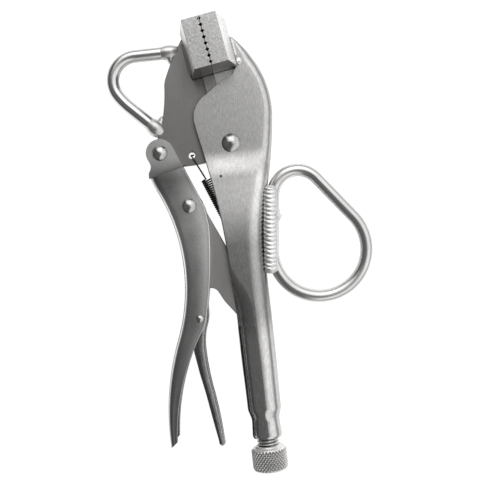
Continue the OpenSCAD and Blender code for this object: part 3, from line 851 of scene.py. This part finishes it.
def make_ring_welds():
    for name, side in (("ring_bead_front", 1), ("ring_bead_back", -1)):
        start, end = (23.6, -72.2, side * 3.7), (19.8, -110.8, side * 3.7)
        shell = bead(Shell(), start, end, 2.6, ripple=0.14, seed=3 * side, bow=2.4, wide=1.35)
        weld("weld_" + name, shell, "handle_frame", name)
    joint = lump(Shell(), (24.9, -85.2, 0.4), (3.0, 2.6, 4.2), 4.0, 0.35)
    lump(joint, (25.6, -82.6, 2.4), (1.7, 1.6, 1.8), 9.0, 0.3)
    weld("weld_ring_joint", joint, "handle_frame", "ring_joint_weld")


def make_block_welds():
    low = grip_point(FIXED_BLOCK_T + 1.2, BLOCK_LOW + 2.2)
    nugget = lump(Shell(), (*low, NARROW_HALF), (1.7, 2.0, 1.2), 2.0, 0.15)
    weld("weld_horn", nugget, "handle_frame", "horn_weld")
    fixed = seam(FIXED_BLOCK_T + 0.4, BLOCK_LOW + 6, 1, NARROW_HALF - 0.3, 1.1, 1.7, 0)
    weld("weld_fixed_block", fixed, "handle_frame", "fixed_block_weld")
    moving = seam(-MOVING_BLOCK_T - 0.1, BLOCK_LOW + 3, 7, 2.7, 0.7, 1.8, 5)
    weld("weld_moving_block", moving, "moving_jaw", "moving_block_weld", PLATE_STEEL)


def make_loop_welds():
    top = flare(Shell(), LOOP_LINE, 6.5, -3.0)
    lump(top, (-18.2, -1.9, 0), (2.0, 2.6, 2.4), 6.0)
    melted(weld("weld_loop_top", top, "moving_jaw", "loop_weld_top", LOOP_WELD_STEEL))
    low = flare(Shell(), LOOP_LINE, LOOP_LINE.length - 5.5, LOOP_LINE.length + 4, 1.1)
    lump(low, (-26.0, -31.9, 0), (1.9, 2.7, 2.4), 15.0)
    melted(weld("weld_loop_bottom", low, "moving_jaw", "loop_weld_bottom", LOOP_WELD_STEEL))


def rivet(name, node, at, head_d, head_h, half, shank_d, body):
    """A rivet with a dome on each side."""
    dome_r = (head_d ** 2 / 4 + head_h ** 2) / (2 * head_h)
    edge = math.asin(head_d / 2 / dome_r)
    top = half + head_h
    profile = [(0.01, top)]
    profile += [(dome_r * math.sin(a), top - dome_r * (1 - math.cos(a)))
                for a in np.linspace(0.08, edge, 12)]
    profile += [(head_d / 2 - 0.25, half - 0.03), (shank_d / 2, half - 0.05)]
    profile += [(r, -z) for r, z in reversed(profile)]
    shell = Shell().turned(profile, 40, at)
    return piece(name, shell, RIVET_STEEL, body, [node], sharp=50)


def make_rivets():
    rivet("rivet_main", "main_rivet", MAIN_PIVOT, 9.5, 2.0, NARROW_HALF, 7, "handle_frame")
    rivet("rivet_ear", "ear_rivet", EAR_PIVOT, 7.7, 1.8, NARROW_HALF + 0.05, 5.6, "moving_jaw")
    rivet("rivet_link", "link_rivet", LINK_PIVOT, 7.7, 1.8, LEVER_HALF, 5.6, "hand_lever")
    rivet("rivet_release", "release_rivet", RELEASE_PIVOT, 4.4, 1.2, LEVER_HALF, 3.2, "hand_lever")


# ---------------------------------------------------------------- link, spring, screw

def rounded(corners, steps=6):
    """Outline through corners (x, y, radius), each rounded by an arc."""
    points = []
    for i, (x, y, radius) in enumerate(corners):
        p = vec(x, y)
        a = vec(*corners[i - 1][:2]) - p
        b = vec(*corners[(i + 1) % len(corners)][:2]) - p
        a, b = a / np.linalg.norm(a), b / np.linalg.norm(b)
        half = math.acos(float(a @ b)) / 2
        reach = radius / math.tan(half)
        centre = p + (a + b) / np.linalg.norm(a + b) * radius / math.sin(half)
        first, last = p + a * reach - centre, p + b * reach - centre
        low, high = math.atan2(first[1], first[0]), math.atan2(last[1], last[0])
        turn = (high - low + math.pi) % (2 * math.pi) - math.pi
        points += [centre + radius * vec(math.cos(low + turn * k / steps), math.sin(low + turn * k / steps))
                   for k in range(steps + 1)]
    return points


def make_link():
    outline = rounded([
        (-11.2, -74.2, 5), (-0.9, -97.6, 1), (0.2, -105, 1.5), (4.4, -121, 12), (12, -134.5, 6),
        (12, -140.6, 2), (7.2, -140.6, 1), (-4.7, -124.4, 8), (-8.2, -117.6, 4), (-16.3, -116.6, 2),
        (-18.6, -104, 20), (-24.2, -78.6, 6), (-21, -68.6, 6)])
    shell = Shell().slab(outline, -3, 3)
    hub = [vec(*LINK_PIVOT) + 6.6 * unit(a) for a in range(0, 360, 10)]
    for side in (1, -1):
        low, high = sorted((side * 2.8, side * 5.3))
        shell.slab(hub, low, high)
    return piece("link_plate", shell, PLATE_STEEL, "link", ["toggle_link"], bevel=0.4)


def make_spring():
    """The spring's wire: a hook in the jaw plate's hole, the winding, and a tail into the handle."""
    start, end = Vector((-7.6, -62.5, 0)), Vector((3.2, -90.4, 0))
    along = (end - start).normalized()
    length = (end - start).length
    up = Vector((0, 0, 1))
    side = along.cross(up)
    turns, radius, steps = 26, 2.3, 18
    points = [Vector(p) for p in ((-12.2, -50.2, -1.6), (-13.0, -50.6, 0.8), (-13.3, -50.8, 2.7),
                                  (-13.0, -51.4, 3.4), (-12.2, -53.0, 3.3))]
    points += [mix(points[-1], start + along * 0.2 + up * radius, f) for f in (0.3, 0.6, 0.9)]
    for k in range(turns * steps + 1):
        a = 2 * math.pi * k / steps
        at = start + along * (0.7 + (length - 1.4) * k / (turns * steps))
        points.append(at + radius * (math.cos(a) * up + math.sin(a) * side))
    anchor = Vector((8, -98.5, 0))
    points += [mix(points[-1], anchor, f) for f in (0.15, 0.4, 0.7, 1)]
    shell = Shell().tube(points, 0.42, 8)
    spring = piece("tension_spring", shell, SPRING_STEEL, None, ["return_spring"], sharp=0)
    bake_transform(spring)
    return spring


def screw_ring(y, radii):
    """Points about the screw's axis at one height, with a radius for each."""
    turns = [2 * math.pi * k / len(radii) for k in range(len(radii))]
    return [(SCREW_X + r * math.cos(a), y, r * math.sin(a)) for a, r in zip(turns, radii)]


def make_screw():
    """The shank: a plain core, and a helical thread on the length that comes out of the tube."""
    tip, low, pitch, segments = -143.7, KNOB_TOP_Y + 0.1, 1.6, 48
    rings = [screw_ring(y, [r] * segments)
             for y, r in ((tip, 2.6), (tip - 2.4, 4.4), (tip - 4, 4.8), (-172, 4.8))]
    for y in np.arange(-173, low, -pitch / 10):
        crests = [abs(((y / pitch + k / segments) % 1) - 0.5) * 2 for k in range(segments)]
        rings.append(screw_ring(y, [4.3 + 1.2 * min(max(c * 1.6 - 0.3, 0), 1) for c in crests]))
    return piece("screw_shank", Shell().loft(rings), SCREW_STEEL, "screw", ["adjusting_screw"],
                 sharp=0)


def knurl_depth(u, v):
    """How far a point of the knurl lies from its crests' radius, given its place in the pattern."""
    left, right = abs((u + v) % 1 - 0.5), abs((u - v) % 1 - 0.5)
    return 1.3 * min(2 * min(left, right) * 1.3, 1.0) - 1.1


def make_knob():
    """A knob with a diamond knurl between two rounded shoulders."""
    top, low = KNOB_TOP_Y, KNOB_TOP_Y - 12.3
    diamonds, segments, knurl_pitch = 30, 240, 2.0
    profile = [(0.01, top), (6.2, top), (6.5, top - 0.3), (6.7, top - 0.8), (7.6, top - 0.95),
               (8.15, top - 1.3), (8.4, top - 1.7)]
    smooth = len(profile)
    profile += [(8.62, y) for y in np.linspace(top - 2.1, low + 1.3, 44)]
    rough_end = len(profile)
    profile += [(8.35, low + 0.8), (8.0, low + 0.3), (7.4, low), (0.01, low)]
    rings = []
    for i, (radius, y) in enumerate(profile):
        radii = [radius] * segments
        if smooth <= i < rough_end:
            v = (y - low) / knurl_pitch
            radii = [radius + knurl_depth(k * diamonds / segments, v) for k in range(segments)]
        rings.append(screw_ring(y, radii))
    return piece("knurled_knob", Shell().loft(rings), KNOB_STEEL, "knob", ["adjusting_knob"],
                 sharp=0)


# ---------------------------------------------------------------- stage

def stage_sheet(name, low, high, z, material):
    """A flat rectangle at one height, in one material, for the floor or a card."""
    mesh = bpy.data.meshes.new(name)
    corners = [(low[0], low[1], z), (high[0], low[1], z), (high[0], high[1], z), (low[0], high[1], z)]
    mesh.from_pydata(corners, [], [(0, 1, 2, 3)])
    mesh.materials.append(material)
    sheet = bpy.data.objects.new(name, mesh)
    bpy.context.scene.collection.objects.link(sheet)
    return sheet


def make_floor():
    stage_sheet("floor", (-6, -6), (6, 6), FLOOR_Z, floor_paint("white_floor"))


def make_shade_card():
    """A black card between lever and grip that only reflections see. It darkens the grip's left side."""
    n = Nodes("black_card")
    tones = n.colours(n.noise((40, 40, 40)), [(0.3, (0.02, 0.02, 0.02)), (0.7, (0.03, 0.03, 0.03))])
    n.link(tones, n.shader.inputs["Base Color"])
    n.shader.inputs["Roughness"].default_value = 1.0
    card = stage_sheet("shade_card", (-0.062, -0.235), (-0.009, -0.07), -0.0245, n.material)
    card.visible_camera = False
    card.visible_diffuse = False
    card.visible_shadow = False


def soft_light(name, place, size, power):
    """A rectangular studio light that faces the object."""
    data = bpy.data.lights.new(name, "AREA")
    data.shape = "RECTANGLE"
    data.size, data.size_y = size
    data.energy = power
    light = bpy.data.objects.new(name, data)
    light.location = place
    light.rotation_euler = (Vector((*VIEW_CENTRE, 0)) - Vector(place)).to_track_quat("-Z", "Y").to_euler()
    bpy.context.scene.collection.objects.link(light)


def towards(tree, direction, axis, span, values):
    """A smooth change of brightness along one direction of the sky."""
    dot = tree.nodes.new("ShaderNodeVectorMath")
    dot.operation = "DOT_PRODUCT"
    dot.inputs[1].default_value = axis
    tree.links.new(direction, dot.inputs[0])
    change = tree.nodes.new("ShaderNodeMapRange")
    change.interpolation_type = "SMOOTHSTEP"
    change.inputs["From Min"].default_value, change.inputs["From Max"].default_value = span
    change.inputs["To Min"].default_value, change.inputs["To Max"].default_value = values
    tree.links.new(dot.outputs["Value"], change.inputs["Value"])
    return change.outputs["Result"]


def combined(tree, operation, first, second):
    node = tree.nodes.new("ShaderNodeMath")
    node.operation = operation
    tree.links.new(first, node.inputs[0])
    tree.links.new(second, node.inputs[1])
    return node.outputs["Value"]


def make_world():
    """A room bright on the right and towards the jaws, dark on the lever's side, with a dim horizon."""
    world = bpy.data.worlds.new("studio")
    world.use_nodes = True
    tree = world.node_tree
    background = tree.nodes["Background"]
    direction = tree.nodes.new("ShaderNodeTexCoord").outputs["Generated"]
    main = towards(tree, direction, (*unit(38), 0), (-0.08, 0.35), (0.13, 1.05))
    low_right = towards(tree, direction, (*unit(325), 0), (0.2, 0.5), (0.0, 0.95))
    horizon = towards(tree, direction, (0, 0, 1), (0.0, 0.55), (0.3, 1.0))
    sides = combined(tree, "MAXIMUM", main, low_right)
    strength = combined(tree, "MULTIPLY", sides, horizon)
    # Seen directly, past the floor's edge, the room is plain white
    seen = tree.nodes.new("ShaderNodeLightPath").outputs["Is Camera Ray"]
    tree.links.new(combined(tree, "MAXIMUM", strength, seen), background.inputs["Strength"])
    background.inputs["Color"].default_value = (1, 1, 1, 1)
    bpy.context.scene.world = world


def make_camera():
    """A camera that looks straight down from 0.4 m and sees a square of 0.24 m."""
    height, half_view = 0.4, 0.12
    data = bpy.data.cameras.new("camera")
    data.sensor_fit = "HORIZONTAL"
    data.angle = 2 * math.atan(half_view / height)
    camera = bpy.data.objects.new("camera", data)
    camera.location = (0.0062, -0.0951, height)
    camera.rotation_euler = (0, 0, math.radians(-6.3))
    bpy.context.scene.collection.objects.link(camera)
    bpy.context.scene.camera = camera


make_camera()
make_handle()
make_tang()
make_block("block_fixed", "fixed_jaw_block", FIXED_BLOCK_T, NARROW_HALF, 1, "handle_frame")
make_block("block_moving", "moving_jaw_block", MOVING_BLOCK_T, 2.5, -1, "moving_jaw")
make_jaw_plate()
make_ring()
make_loop()
make_ring_welds()
make_block_welds()
make_loop_welds()
make_rivets()
make_lever()
make_release()
make_link()
make_spring()
make_screw()
make_knob()
make_floor()
make_shade_card()
soft_light("key_top", (0.0, 0.62, 0.75), (1.0, 0.8), 1.6)
make_world()
bpy.context.scene.view_settings.view_transform = "Standard"
